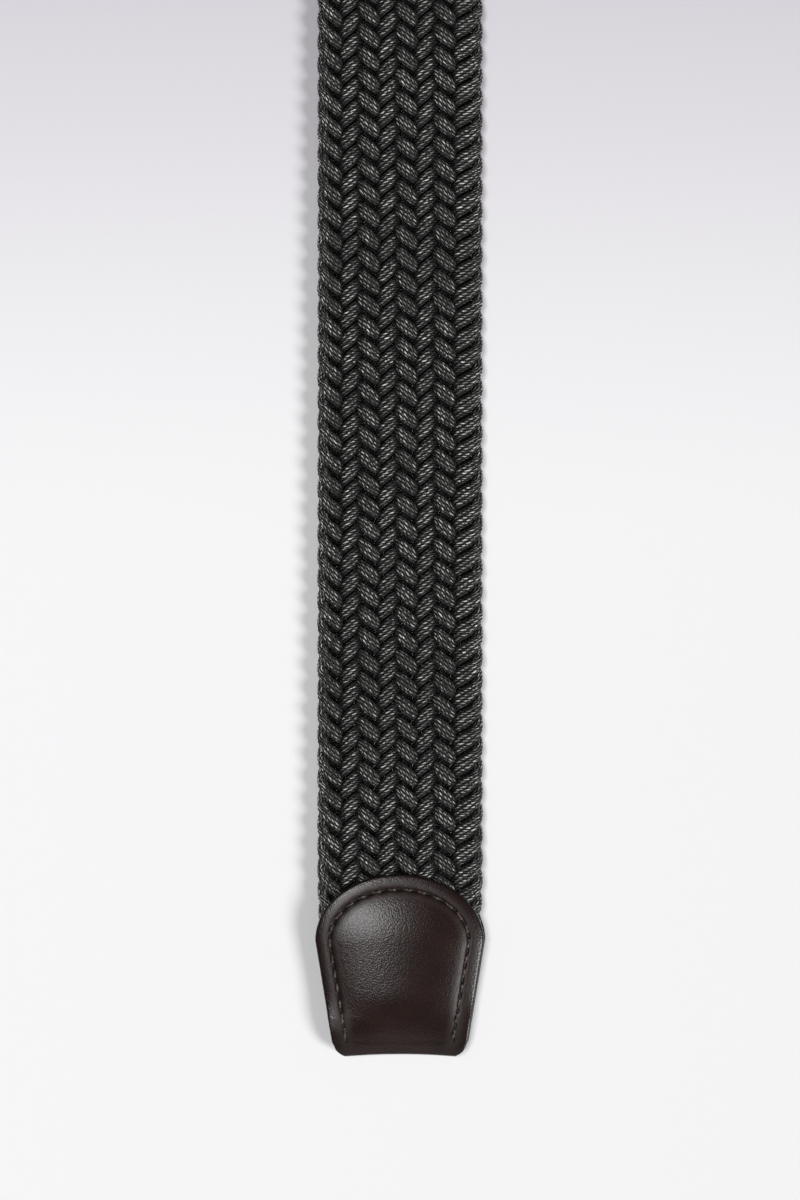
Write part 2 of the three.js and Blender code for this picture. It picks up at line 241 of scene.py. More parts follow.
class Braid:
    """A flat braid in which each strand passes over two others and then under two.

    Time runs in steps of one crossing. A strand crosses the belt in strand_count steps, turns round its edge
    and comes back, while it advances half a period along the belt at each step.
    """

    SHIFT = 0.35  # of the whole braid along the belt
    OFFSET = -0.7  # of the braid's middle across the belt, while its edges stay
    CREST = 1.1  # of half a strand's room, from the middle plane to a float's middle line
    EDGE_SHARE = 1.2  # of half a strand's thickness, from the strap's edge to a turning strand's middle
    LOBE_DEPTH = 0.26  # of the valleys between a strand's cords
    DWELL = 0.65  # from the edge, one step after a turn
    FILL = (0.8, 0.98)  # going right and left: of the room between two strands side by side
    FLOAT_FLATNESS = (0.45, 0.7)  # going right and left: the smaller, the flatter a float is on top
    FLOAT_TURN = (0.45, 0.15)  # how much faster than its pitch an upper float crosses the belt
    FLOAT_DRAG = (0.5, 0.2)  # how much slower than its pitch an upper float goes along the belt
    FLOAT_LIFT = (0.18, 0.0)  # how much an upper float is raised

    def __init__(self, sizes):
        self.sizes = sizes
        self.lap = sizes.strand_count
        self.step = sizes.braid_period / 2
        self.thickness = sizes.strap_thickness / 2
        self.reach = sizes.strap_width / 2 - self.EDGE_SHARE * self.thickness / 2
        self.column = 2 * self.reach / (self.lap - 0.66)

    def across(self, run):
        """Place across the belt on a run from left to right.

        It grows by one column's pitch at each step. At either end it dwells at the edge for a step: there it
        is a quartic curve, at rest at the edge, that has gone DWELL after one step and joins the even part
        after two.
        """
        from_edge = np.minimum(run, self.lap - run)
        joined = (2 - self.lap / 2) * self.column + self.reach
        first, second, third = np.linalg.solve(
            [[1, 1, 1], [4, 8, 16], [4, 12, 32]], [self.DWELL, joined, self.column]
        )
        turn = -self.reach + first * from_edge**2 + second * from_edge**3 + third * from_edge**4
        straight = (from_edge - self.lap / 2) * self.column
        half = np.where(from_edge < 2, turn, straight)
        return np.where(run < self.lap / 2, half, -half)

    def height(self, run, flat):
        """Height on a run: a wave of four steps that is flattened at its crests, from edge to edge.

        The wave is a quarter longer round each edge, where the strand passes from one face to the other.
        """
        last = self.lap - 1.5
        wave = np.cos(np.pi / 2 * (run - 1.5))
        wave = np.where(run < 1.5, np.sin(np.pi / 3 * run), wave)
        wave = np.where(run > last, -np.cos(np.pi / 3 * (run - last)), wave)
        return wave * np.sqrt(1 + flat**2) / np.sqrt(wave**2 + flat**2) * self.CREST * self.thickness / 2

    def centre(self, time, phase):
        """Middle of a strand at some times, as points across, along and above the strap's middle plane."""
        run = np.mod(time + phase, 2 * self.lap)
        back = run >= self.lap
        run = np.where(back, run - self.lap, run)
        from_turn = smooth(1.0, 3.0, np.minimum(run, self.lap - run))
        turn, drag, lift, flat = (
            mix((right + left) / 2, np.where(back, left, right), from_turn)
            for right, left in (self.FLOAT_TURN, self.FLOAT_DRAG, self.FLOAT_LIFT, self.FLOAT_FLATNESS)
        )
        quarter = np.pi / 2 * (run - 1.5)
        sway = np.sin(quarter) * 2 / np.pi * from_turn
        across = self.across(run) + turn * sway
        along = -self.step * time + drag * sway
        height = self.height(run, flat) + lift * (1 + np.cos(quarter)) / 2
        across = np.where(back, -across, across)
        across = across + self.OFFSET * (1 - np.abs(across / self.reach) ** 6)
        return np.stack([across, along + self.SHIFT, height], -1)

    def strand(self, strand, start, stop, rings_per_step, points_per_cord):
        """A strand's skin from one time to another, ring after ring, and each ring's length along the strand.

        A ring is an ellipse with a scallop for each cord. It lies across the strand's direction, and its
        normal has no part along the belt, so the strand folds over at each edge.
        """
        phase = 2 * strand
        time = np.linspace(start, stop, int(round((stop - start) * rings_per_step)) + 1)
        middle = self.centre(time, phase)
        small = 0.02
        along = self.centre(time + small, phase) - self.centre(time - small, phase)
        along /= np.linalg.norm(along, axis=1, keepdims=True)
        normal = np.stack([-along[:, 2], np.zeros(len(time)), along[:, 0]], -1)
        normal /= np.linalg.norm(normal, axis=1, keepdims=True)
        side = np.cross(along, normal)

        cords = self.sizes.cord_count
        count = int(cords * points_per_cord)
        angle = 2 * np.pi * np.arange(count) / count
        cosine, sine = np.cos(angle), np.sin(angle)
        square = 1 / (np.abs(cosine) ** 2.2 + np.abs(sine) ** 2.2) ** (1 / 2.2)
        lobe = 1 - np.abs(np.sin(cords * angle / 2))
        if points_per_cord < 3:
            lobe = lobe * 0
        run = np.mod(time + phase, self.lap)
        turning = 1 - smooth(0.3, 1.9, np.minimum(run, self.lap - run))
        room = 2 * self.step * np.abs(along[:, 0]) / np.linalg.norm(along[:, :2], axis=1)
        back = np.mod(time + phase, 2 * self.lap) >= self.lap
        fill = np.where(back, self.FILL[1], self.FILL[0])
        half_width = mix(fill * room, 0.9 * self.sizes.strand_width, turning) / 2
        half_height = self.thickness / 2 * (0.9 + 0.3 * turning)
        depth = self.LOBE_DEPTH * lobe
        width = (half_width[:, None] * square - depth) * cosine
        height = (half_height[:, None] * square - depth) * sine
        points = middle[:, None] + width[..., None] * side[:, None] + height[..., None] * normal[:, None]
        length = np.concatenate([[0], np.cumsum(np.linalg.norm(np.diff(middle, axis=0), axis=1))])
        return points, length

    @staticmethod
    def painted_light_height(points):
        """How far points stand out, as a share for the yarn's painted light: 0 in hollows, which get painted
        shade, 1 on crests and the right edge, 2 on the left edge, which gets a painted highlight.
        """
        x, z = points[..., 0], points[..., 2]
        # The edges count as crests, so they escape the painted shade; the left edge counts double, for a
        # painted highlight.
        on_edge = smooth(15.4, 17.0, np.abs(x)) * np.where(x < 0, 2.0, 1.0)
        return np.maximum(smooth(1.3, 2.05, np.abs(z)), on_edge)


# How the strap lies in its leathers

RAMP = 18.0  # beyond a leather's cap, over which the strap rises from the floor
FIT_GAP = 0.3  # between the pressed strap and the panels
LEATHER = 1.2  # thickness of the folded leathers

TIP = SimpleNamespace(
    shoulder=17.815,  # half width where the cap starts
    fold_side=13.79,  # half width where the fold starts
    fold_crest=11.795,  # half width on the fold's crest
    side_length=24.71,  # from the folded end to the shoulder
    cap_length=14.105,
    gap_at_fold=2.0,  # clear height between the panels
    gap_at_cap=3.7,
    crown=0.5,  # swell of the front panel's middle
    pinch=0.7,  # fall of its sides
    bow=0.5,  # of the fold's crest
)
CHAPE = SimpleNamespace(
    shoulder=17.5,
    fold_side=17.185,
    fold_crest=16.905,
    side_length=38.01,
    cap_length=14.0,
    gap_at_fold=3.2,
    gap_at_cap=3.7,
    crown=0.4,
    pinch=0.4,
    bow=0.0,
)
TIP_END = TIP_LOW[1]
CHAPE_CREST = CHAPE_HIGH[1]


def panel_half_width(leather, distance):
    """Half width at a distance from the folded end: straight sides, then a half ellipse."""
    straight = mix(leather.fold_side, leather.shoulder, distance / leather.side_length)
    share = np.clip((distance - leather.side_length) / leather.cap_length, 0, 1)
    return np.where(distance <= leather.side_length, straight, leather.shoulder * np.sqrt(1 - share**2))


def pocket_height(leather, distance, x):
    """Clear height between the two panels.

    It grows evenly from fold to cap, plus a swell that fades towards all the panel's edges, less a pinch that
    grows with the fourth power of the distance from the middle.
    """
    along = np.minimum(1, distance / (leather.side_length + leather.cap_length))
    across = np.minimum(1, np.abs(x) / np.maximum(panel_half_width(leather, distance), 1e-6))
    swell = 4 * along * (1 - along) * (1 - across**2) * leather.crown
    pinched = leather.pinch * smooth(0, leather.side_length / 2, distance)
    side = np.minimum(1, np.abs(x) / leather.shoulder) ** 4 * pinched
    return mix(leather.gap_at_fold, leather.gap_at_cap, along) + swell - side


def lay_strap(points, sizes):
    """Moves a free braid's points to where the strap lies.

    Between the leathers the braid lies on the floor. Towards each of them it rises, flattens to the pocket's
    height and draws in a little, over the length of the ramp.
    """
    x, y, z = points[..., 0], points[..., 1], points[..., 2]
    from_tip, from_crest = y - TIP_END, CHAPE_CREST - y
    half = sizes.strap_width / 2
    placed = []
    for leather, distance in ((TIP, from_tip), (CHAPE, from_crest)):
        length = leather.side_length + leather.cap_length
        inside = 1 - smooth(length, length + RAMP, distance)
        pressed = pocket_height(leather, distance, x) - FIT_GAP
        covered = panel_half_width(leather, np.minimum(distance, leather.side_length)) - 0.7
        drawn = mix(np.minimum(covered, half), half, smooth(leather.side_length, length, distance))
        placed.append((inside, pressed, drawn))
    near_tip = from_tip < from_crest
    inside, pressed, drawn = (np.where(near_tip, a, b) for a, b in zip(*placed))
    thickness = mix(sizes.strap_thickness, pressed, inside)
    middle = mix(sizes.strap_thickness / 2 + 0.1, LEATHER + FIT_GAP / 2 + pressed / 2, inside)
    return np.stack([x * drawn / half, y, middle + z * thickness / sizes.strap_thickness], -1)


class BELT_OT_braid(bpy.types.Operator):
    """Braid the strap's strands, finely by the tip and plainly beyond"""

    bl_idname = "belt.braid"
    bl_label = "Braid the strap"

    TIP_COVER = 23.0  # from the tip's end to where the strands stop, inside it
    CHAPE_COVER = 40.0
    FINE_END = -320.0  # the place along the belt up to which the strands are fine
    FINE_RINGS, PLAIN_RINGS = 5, 2  # in one step
    FINE_POINTS = 4  # round each cord
    PLAIN_SIDES = 10  # round a whole strand

    def execute(self, context):
        sizes = sizes_in_mm()
        braid = Braid(sizes)
        material = yarn_finish()
        first = -(CHAPE_CREST - self.CHAPE_COVER) / braid.step
        change = -self.FINE_END / braid.step
        last = -(TIP_END + self.TIP_COVER) / braid.step
        for strand in range(sizes.strand_count):
            turn = math.ceil((change + 2 * strand - 3.5) / 4) * 4 + 3.5 - 2 * strand
            stretches = (
                (first, turn, self.PLAIN_RINGS, self.PLAIN_SIDES / sizes.cord_count),
                (turn, last, self.FINE_RINGS, self.FINE_POINTS),
            )
            points, faces, uv, painted_light_height = [], [], [], []
            count = 0
            for start, stop, rings_per_step, points_per_cord in stretches:
                skin, length = braid.strand(strand, start, stop, rings_per_step, points_per_cord)
                rings, sides = skin.shape[:2]
                quads, ring_of, side_of = tube_faces(rings, sides)
                places = np.stack([side_of * sizes.cord_count / sides, length[ring_of]], -1)
                caps = np.stack([np.arange(sides), (rings - 1) * sides + np.arange(sides)[::-1]])
                points.append(lay_strap(skin, sizes).reshape(-1, 3))
                painted_light_height.append(braid.painted_light_height(skin).ravel())
                faces += [quads + count, caps + count]
                uv += [places, np.zeros(caps.shape + (2,))]
                count += rings * sides
            shares = ("painted_light_height", np.concatenate(painted_light_height))
            name = f"strand_{strand + 1:02d}"
            piece = add_mesh(name, np.concatenate(points), faces, material, uv, shares)
            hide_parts("braided_strap")
        return {"FINISHED"}


# The leathers


class FoldedLeather:
    """One strip of leather folded round an end of the strap, as a closed solid with finished edges.

    The skin is a grid. Its rows run across the panels from one edge to the other, straight along the sides
    and bent towards the middle round the cap, and its columns keep their distance from the edge.
    """

    EDGE_INSETS = (0, 0.06, 0.16, 0.32, 0.6, 1.2, 2.0)
    SEAM_INSETS = (-0.6, -0.4, -0.2, 0, 0.2, 0.4, 0.6, 1.3, 2.5)  # from the seam
    CAP_ROWS = 64
    SIDE_PITCH = 0.42
    FOLD_ROWS = 20
    SPINE_STOP = 7.5  # from the cap's end to where the bent rows meet on the middle line
    FRONT_ROUND = 0.32  # of the front face's edge
    BACK_ROUND = 0.30
    MARGIN_FALL = 0.3  # of the front face, from the seam to the edge
    GROOVE_DEPTH = 0.20
    HOLE_DEPTH = 0.16  # more than the groove's, where the thread goes in
    BACK_GROOVE = 0.45
    GROOVE_HALF = 0.4  # half width of the grooves
    EASED_ROWS = (12, 5)  # before and after the fold's start, whose heights are evened out
    EASINGS = 30

    def __init__(self, leather, sizes, pillow, droop, seam_end, lean=0.0, slot_half=2.4, slot_end=None):
        self.leather = leather
        self.seam_inset = sizes.seam_inset
        self.insets = np.array([*self.EDGE_INSETS, *(sizes.seam_inset + shift for shift in self.SEAM_INSETS)])
        self.seam_column = len(self.EDGE_INSETS) + self.SEAM_INSETS.index(0)
        self.pillow = pillow
        self.droop = droop
        self.lean = lean
        self.slot_half = slot_half
        self.slot_end = slot_end
        self.fold_reach = LEATHER + leather.gap_at_fold

        places, _ = self.panel_rows()
        seam = places[:, self.seam_column]
        length = np.concatenate([[0], np.cumsum(np.linalg.norm(np.diff(seam, axis=0), axis=1))])
        sewn = length[seam[:, 1] > seam_end][-1]
        self.stitches = int(round(sewn / sizes.stitch_pitch))
        self.stitch_place = length * self.stitches / sewn

    def panel_rows(self):
        """Half of each row, from edge to middle, as places (across, along), and each point's inset."""
        leather = self.leather
        angle = np.pi / 2 * (1 - np.linspace(0, 1, self.CAP_ROWS + 1) ** 1.1)
        rise = leather.cap_length * np.sin(angle)
        edge = np.stack([leather.shoulder * np.cos(angle), leather.side_length + rise], -1)
        inward = -np.stack([np.cos(angle) / leather.shoulder, np.sin(angle) / leather.cap_length], -1)
        inward /= np.linalg.norm(inward, axis=1, keepdims=True)
        spine_length = leather.cap_length - self.SPINE_STOP
        spine = np.stack([angle * 0, leather.side_length + spine_length * np.sin(angle) ** 2], -1)

        steps = int((leather.side_length - self.fold_reach) / self.SIDE_PITCH)
        distance = np.linspace(leather.side_length, self.fold_reach, steps + 1)[1:]
        side_edge = np.stack([panel_half_width(leather, distance), distance], -1)
        side_in = np.stack([-np.ones(steps), np.zeros(steps)], -1)
        side_spine = np.stack([distance * 0, distance], -1)

        edge = np.concatenate([edge, side_edge])
        inward = np.concatenate([inward, side_in])
        spine = np.concatenate([spine, side_spine])
        return self.fill_rows(edge, inward, spine)

    def fill_rows(self, edge, inward, spine):
        """Half rows: straight in from the edge by each inset, and then evenly to the middle."""
        near = edge[:, None] + self.insets[:, None] * inward[:, None]
        last = near[:, -1:]
        slot_share = 1 - self.slot_half / np.maximum(np.abs(last[..., 0]), self.slot_half * 1.01)
        shares = slot_share * np.array([0.25, 0.5, 0.75, 1.0])
        shares = np.concatenate([shares, (1 + slot_share) / 2, np.ones_like(slot_share)], -1)
        inner = last + (spine[:, None] - last) * shares[..., None]
        places = np.concatenate([near, inner], 1)
        reach = np.linalg.norm(places - last, axis=2)[:, len(self.insets):]
        insets = np.broadcast_to(self.insets, near.shape[:2])
        return places, np.concatenate([insets, self.insets[-1] + reach], 1)

    def dome(self, x, distance):
        """1 in the middle of the panel and 0 on the seam, falling with the square of the way out to it."""
        leather, seam = self.leather, self.seam_inset
        across = x / (panel_half_width(leather, np.minimum(distance, leather.side_length)) - seam)
        along = np.maximum(distance - leather.side_length, 0) / (leather.cap_length - seam)
        return np.maximum(1 - across**2 - along**2, 0)

    @staticmethod
    def rounding(inset, radius):
        """How far a quarter round of some radius lies under the face, at some insets from the edge."""
        return radius * (1 - np.sqrt(1 - (1 - np.clip(inset / radius, 0, 1)) ** 2))

    def groove_share(self, inset):
        """1 on the seam, falling to either side as a bell curve."""
        return np.exp(-(((inset - self.seam_inset) / self.GROOVE_HALF) ** 2))

    def relief(self, x, distance, inset, hole):
        """Height of the front face over a flat one.

        A quarter round at the edge, a margin that falls away to the edge with the square of the distance
        from the seam, a groove under the stitches that is deeper at their holes, and a dome inside the seam.
        All but the round fade towards the fold, where the face droops.
        """
        edge = self.rounding(inset, self.FRONT_ROUND)
        margin = -self.MARGIN_FALL * (1 - np.clip(inset / self.seam_inset, 0, 1)) ** 2
        groove = (self.GROOVE_DEPTH + self.HOLE_DEPTH * hole) * self.groove_share(inset)
        pillow = self.pillow * (self.dome(x, distance) - 0.2)
        return -edge - self.droop_share(distance) + self.seam_share(distance) * (margin - groove + pillow)

    def droop_share(self, distance):
        """How far the front face droops, in millimetres: all of it at the fold, easing to none."""
        return self.droop * (1 - ease(-1.5, 8.5, distance))

    def seam_share(self, distance):
        """0 at the fold, easing to 1 where the seam's relief is whole."""
        return ease(self.fold_reach - 1, 15.0, distance)

    def skin(self, outer):
        """One skin's rows: the front panel from its cap to the fold, round the fold, and the back panel."""
        leather = self.leather
        places, insets = self.panel_rows()
        x, distance = places[..., 0], places[..., 1]
        offset = LEATHER if outer else 0.0
        hole = (0.5 + 0.5 * np.cos(2 * np.pi * self.stitch_place))[:, None]
        relief = self.relief(x, distance, insets, hole) if outer else 0.0
        front = np.stack([x, distance, LEATHER + pocket_height(leather, distance, x) + offset + relief], -1)
        under = groove = 0.0
        if outer:
            under = self.rounding(insets, self.BACK_ROUND)
            groove = self.BACK_GROOVE * self.groove_share(insets) * ease(0.5, 3.0, distance)
        back = np.stack([x, distance, np.broadcast_to(LEATHER - offset + under + groove, x.shape)], -1)[::-1]

        turn = np.linspace(0, np.pi, self.FOLD_ROWS + 1)[:, None]
        half = leather.fold_side - (leather.fold_side - leather.fold_crest) * np.sin(turn[:, 0]) ** 2
        zero = np.zeros(len(half))
        fold_places, fold_insets = self.fill_rows(
            np.stack([half, zero], -1), np.stack([zero - 1, zero], -1), np.stack([zero, zero], -1)
        )
        x = fold_places[..., 0]
        radius = pocket_height(leather, zero[:, None], x) / 2
        crest = leather.bow * (1 - (x / half[:, None]) ** 2)
        round_edge = self.relief(x, zero[:, None], fold_insets, 0) + self.droop_share(0.0) if outer else 0.0
        reach = radius + offset + round_edge
        y = crest + LEATHER + radius - reach * np.sin(turn)
        z = LEATHER + radius + reach * np.cos(turn)
        if outer:
            z = z - self.droop * np.maximum(np.cos(turn), 0) ** 2
        fold = np.stack([x, y, z], -1)

        half_rows = np.concatenate([front, fold, back])
        start, stop = len(front) - self.EASED_ROWS[0], len(front) + self.EASED_ROWS[1]
        for _ in range(self.EASINGS):
            height = half_rows[start - 1:stop + 1, :, 2]
            half_rows[start:stop, :, 2] = (height[:-2] + 2 * height[1:-1] + height[2:]) / 4
        mirrored = half_rows[:, -2::-1] * np.array([-1, 1, 1])
        rows = np.concatenate([half_rows, mirrored], 1)
        top = LEATHER * 2 + leather.gap_at_cap
        rows[..., 0] += self.lean * (0.5 - rows[..., 2] / top)
        row_insets = np.concatenate([insets, fold_insets, insets[::-1]])
        return rows, np.concatenate([row_insets, row_insets[:, -2::-1]], 1)

    def build(self, name, node, material, place, turned):
        """The closed solid: both skins, and a wall between them along every edge that is left open."""
        outer, insets = self.skin(True)
        inner, _ = self.skin(False)
        rows, columns = outer.shape[:2]
        number = np.arange(rows * columns).reshape(rows, columns)
        weld = number.copy()
        weld[0, columns // 2 + 1:] = number[0, :columns // 2][::-1]
        weld[-1, columns // 2 + 1:] = number[-1, :columns // 2][::-1]
        quad = np.stack([number[:-1, :-1], number[:-1, 1:], number[1:, 1:], number[1:, :-1]], -1)
        quad = quad.reshape(-1, 4)
        if self.slot_end is not None:
            middle = outer.reshape(-1, 3)[quad].mean(1)
            in_slot = (np.abs(middle[:, 0]) < self.slot_half) & (middle[:, 1] < self.slot_end)
            quad = quad[~in_slot]
        panel = len(self.stitch_place)
        stitch = np.full(rows, self.stitches + 0.5)
        stitch[:panel] = np.minimum(self.stitch_place, self.stitches + 0.5)
        stitch[-panel:] = stitch[:panel][::-1]
        places = np.stack([np.broadcast_to(stitch[:, None], insets.shape), insets], -1).reshape(-1, 2)
        front_uv = places[quad]
        quad = weld.ravel()[quad]

        after = np.roll(quad, -1, axis=1)
        start, end = quad.ravel(), after.ravel()
        key = np.minimum(start, end) * (rows * columns) + np.maximum(start, end)
        _, which, uses = np.unique(key, return_inverse=True, return_counts=True)
        rim = uses[which] == 1
        start, end = start[rim], end[rim]
        shift = rows * columns
        wall = np.stack([end, start, start + shift, end + shift], -1)
        faces = np.concatenate([quad, quad[:, ::-1] + shift, wall])
        wall_uv = places[wall % shift]
        uv = np.concatenate([front_uv, front_uv[:, ::-1], wall_uv])

        points = np.concatenate([outer.reshape(-1, 3), inner.reshape(-1, 3)])
        reach = np.where(np.arange(rows) < panel, 0.0, 0.3)[:, None]
        on_edge = (1 - smooth(0.1 + reach, 0.42 + reach, insets)).ravel()
        paint = np.concatenate([on_edge, on_edge])
        if turned:
            points = points * np.array([-1, -1, 1])
        points = points + np.array([0, place, 0])
        used, compact = np.unique(faces, return_inverse=True)
        faces = compact.reshape(faces.shape)
        piece = add_mesh(name, points[used], [faces], material, [uv], ("paint", paint[used]))
        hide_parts(node)

    def seam_line(self, front):
        """The line that the stitches follow on one face, from side to side round the cap.

        Gives its points and each one's place, in stitches from the middle of the cap.
        """
        rows, _ = self.skin(True)
        panel = len(self.stitch_place)
        rows = rows[:panel] if front else rows[-panel:][::-1]
        right, left = rows[:, self.seam_column], rows[:, -1 - self.seam_column]
        line = np.concatenate([left[:0:-1], right])
        return line, np.concatenate([-self.stitch_place[:0:-1], self.stitch_place])


def stitch_row(line, place, stitches, sizes, up, sunk):
    """A row of stitches along a line: points in rings, stitch after stitch, and the rings' places in mm.

    Each stitch is a short thread that leaves one hole, arches over the leather and dives into the next hole,
    turned a little across the line. sunk is how deep its middle lies, in thread radii.
    """
    ring = np.linspace(-1, 1, 8)
    at = np.arange(-stitches, stitches)[:, None] + 0.5 + 0.4 * ring
    middle = np.stack([np.interp(at, place, line[:, axis]) for axis in range(3)], -1)
    near = np.stack([np.interp(at + 0.02, place, line[:, axis]) for axis in range(3)], -1)
    along = near - middle
    along /= np.linalg.norm(along, axis=-1, keepdims=True)
    side = np.cross(along, [0, 0, 1.0])
    radius = sizes.thread_diameter / 2
    middle = middle + side * (0.16 * ring)[:, None]
    arch = -radius * (sunk + 2.2 * np.abs(ring) ** 3.5)
    middle[..., 2] += up * arch
    angle = 2 * np.pi * np.arange(8) / 8
    points = middle[..., None, :] + radius * (
        np.cos(angle)[:, None] * side[..., None, :] + np.sin(angle)[:, None] * np.array([0, 0, 1.0])
    )
    return points, at * sizes.stitch_pitch


def belt_leathers(sizes):
    """The tip's and the chape's leather, each with its name, its place and whether it is turned."""
    tip = FoldedLeather(TIP, sizes, pillow=1.15, droop=0.8, seam_end=3.3, lean=0.6)
    chape = FoldedLeather(CHAPE, sizes, pillow=0.45, droop=0.0, seam_end=9.0, slot_end=5.9)
    return ("tip", tip, TIP_END, False), ("chape", chape, CHAPE_CREST, True)


class BELT_OT_leathers(bpy.types.Operator):
    """Fold the leather tip over the strap's free end and the chape round the heel bar"""

    bl_idname = "belt.leathers"
    bl_label = "Fold the leathers"

    def execute(self, context):
        material = leather_finish()
        for name, leather, place, turned in belt_leathers(sizes_in_mm()):
            leather.build(f"{name}_leather", f"leather_{name}", material, place, turned)
        return {"FINISHED"}


class BELT_OT_seams(bpy.types.Operator):
    """Sew both faces of the tip and of the chape with a row of stitches near the edge"""

    bl_idname = "belt.seams"
    bl_label = "Sew the seams"

    def execute(self, context):
        sizes = sizes_in_mm()
        material = thread_finish()
        for name, leather, place, turned in belt_leathers(sizes):
            points, faces, uv = [], [], []
            total = 0
            for up, sunk in ((1, -0.7), (-1, 0.1)):
                line, line_place = leather.seam_line(up > 0)
                rings, place_along = stitch_row(line, line_place, leather.stitches, sizes, up, sunk)
                count, length, sides = rings.shape[:3]
                quads, ring_of, side_of = tube_faces(length, sides)
                caps = np.stack([np.arange(sides), (length - 1) * sides + np.arange(sides)[::-1]])
                starts = (np.arange(count) * length * sides)[:, None, None] + total
                faces += [(quads + starts).reshape(-1, 4), (caps + starts).reshape(-1, sides)]
                along = place_along[:, ring_of]
                around = np.broadcast_to(side_of / sides, along.shape)
                uv += [np.stack([around, along], -1).reshape(-1, 4, 2), np.zeros((2 * count, sides, 2))]
                points.append(rings.reshape(-1, 3))
                total += count * length * sides
            points = np.concatenate(points)
            if turned:
                points = points * np.array([-1, -1, 1])
            points = points + np.array([0, place, 0])
            add_mesh(f"stitches_{name}", points, faces, material, uv)
        return {"FINISHED"}


class BELT_OT_strap_ends(bpy.types.Operator):
    """Fill the pockets of the tip and of the chape with the strap's pressed ends"""

    bl_idname = "belt.strap_ends"
    bl_label = "Press the strap's ends"

    def execute(self, context):
        material = yarn_finish()
        for name, leather, place, turned, start, stop in (
            ("strap_end_tip", TIP, TIP_END, False, 4.5, 24.0),
            ("strap_end_chape", CHAPE, CHAPE_CREST, True, 10.9, 41.0),
        ):
            distance = np.linspace(start, stop, 24)[:, None]
            angle = 2 * np.pi * np.arange(48) / 48
            power = 2 / 5
            across = np.sign(np.cos(angle)) * np.abs(np.cos(angle)) ** power
            up = np.sign(np.sin(angle)) * np.abs(np.sin(angle)) ** power
            x = across * (panel_half_width(leather, np.minimum(distance, leather.side_length)) - 0.45)
            clear = pocket_height(leather, distance, x) - 0.1
            z = LEATHER + 0.05 + clear / 2 * (1 + up)
            rings = np.stack([x, np.broadcast_to(distance, x.shape), z], -1)
            if turned:
                rings = rings * np.array([-1, -1, 1])
            count, sides = rings.shape[:2]
            quads, ring_of, side_of = tube_faces(count, sides)
            caps = np.stack([np.arange(sides), (count - 1) * sides + np.arange(sides)[::-1]])
            uv = [np.stack([side_of * 1.0, distance[ring_of, 0]], -1), np.zeros(caps.shape + (2,))]
            points = rings.reshape(-1, 3) + np.array([0, place, 0])
            # These pieces carry no painted_light_height share, so the yarn finish paints them all over with its
            # painted shade and no painted highlights.
            piece = add_mesh(name, points, [quads, caps], material, uv)
            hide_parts("braided_strap")
        return {"FINISHED"}


# Finishes


class Wire:
    """An output of a material's node. Arithmetic on wires adds Math nodes."""

    def __init__(self, tree, socket):
        self.tree = tree
        self.socket = socket

    def math(self, operation, *values):
        inputs = dict(enumerate(values))
        return add_node(self.tree, "ShaderNodeMath", {"operation": operation}, inputs)

    def __add__(self, other):
        return self.math("ADD", self, other)

    def __sub__(self, other):
        return self.math("SUBTRACT", self, other)

    def __rsub__(self, other):
        return self.math("SUBTRACT", other, self)

    def __mul__(self, other):
        return self.math("MULTIPLY", self, other)

    def __truediv__(self, other):
        return self.math("DIVIDE", self, other)

    def __pow__(self, other):
        return self.math("POWER", self, other)

    __radd__ = __add__
    __rmul__ = __mul__

    def floor(self):
        return self.math("FLOOR", self)

    def fract(self):
        return self.math("FRACT", self)

    def sine(self):
        return self.math("SINE", self)

    def absolute(self):
        return self.math("ABSOLUTE", self)

    def above(self, low, high):
        """0 below low and 1 above high, with a smooth step between them."""
        settings = {"interpolation_type": "SMOOTHSTEP"}
        inputs = {"Value": self, "From Min": low, "From Max": high}
        return add_node(self.tree, "ShaderNodeMapRange", settings, inputs)


def add_node(tree, kind, settings, inputs, output=0):
    """A node of a kind, its settings set first and then the values or links of its sockets, as one wire."""
    node = tree.nodes.new(kind)
    for name, value in settings.items():
        setattr(node, name, value)
    for name, value in inputs.items():
        if isinstance(value, Wire):
            tree.links.new(value.socket, node.inputs[name])
        else:
            node.inputs[name].default_value = value
    return Wire(tree, node.outputs[output])


def new_material(name):
    """An empty material and its node tree."""
    material = bpy.data.materials.new(name)
    material.use_nodes = True
    material.node_tree.nodes.clear()
    return material, material.node_tree


def blend_colours(tree, share, first, second):
    """A colour between two, by a share."""
    inputs = {"Factor": share, 6: first, 7: second}
    return add_node(tree, "ShaderNodeMix", {"data_type": "RGBA"}, inputs, 2)


def finish_surface(material, tree, inputs, height, distance):
    """Ends a material with its shader, whose normal comes from a height in metres."""
    normal = add_node(tree, "ShaderNodeBump", {}, {"Height": height, "Distance": distance}, "Normal")
    shader = add_node(tree, "ShaderNodeBsdfPrincipled", {}, {**inputs, "Normal": normal})
    output = tree.nodes.new("ShaderNodeOutputMaterial")
    tree.links.new(shader.socket, output.inputs["Surface"])
    return material


def first_two(tree, vector):
    """The first two numbers of a vector."""
    first = add_node(tree, "ShaderNodeSeparateXYZ", {}, {0: vector}, "X")
    return first, Wire(tree, first.socket.node.outputs["Y"])


def pattern_place(tree):
    """The piece's own pattern map, as its two numbers."""
    return first_two(tree, add_node(tree, "ShaderNodeUVMap", {"uv_map": "pattern"}, {}, "UV"))


def noise(tree, place, scale, detail):
    """A cloudy number that changes from place to place."""
    return add_node(tree, "ShaderNodeTexNoise", {}, {"Vector": place, "Scale": scale, "Detail": detail})


def opaque(colour, share=1.0):
    """A colour with its opacity, darkened or lightened by a share."""
    return (*(share * value for value in colour), 1.0)


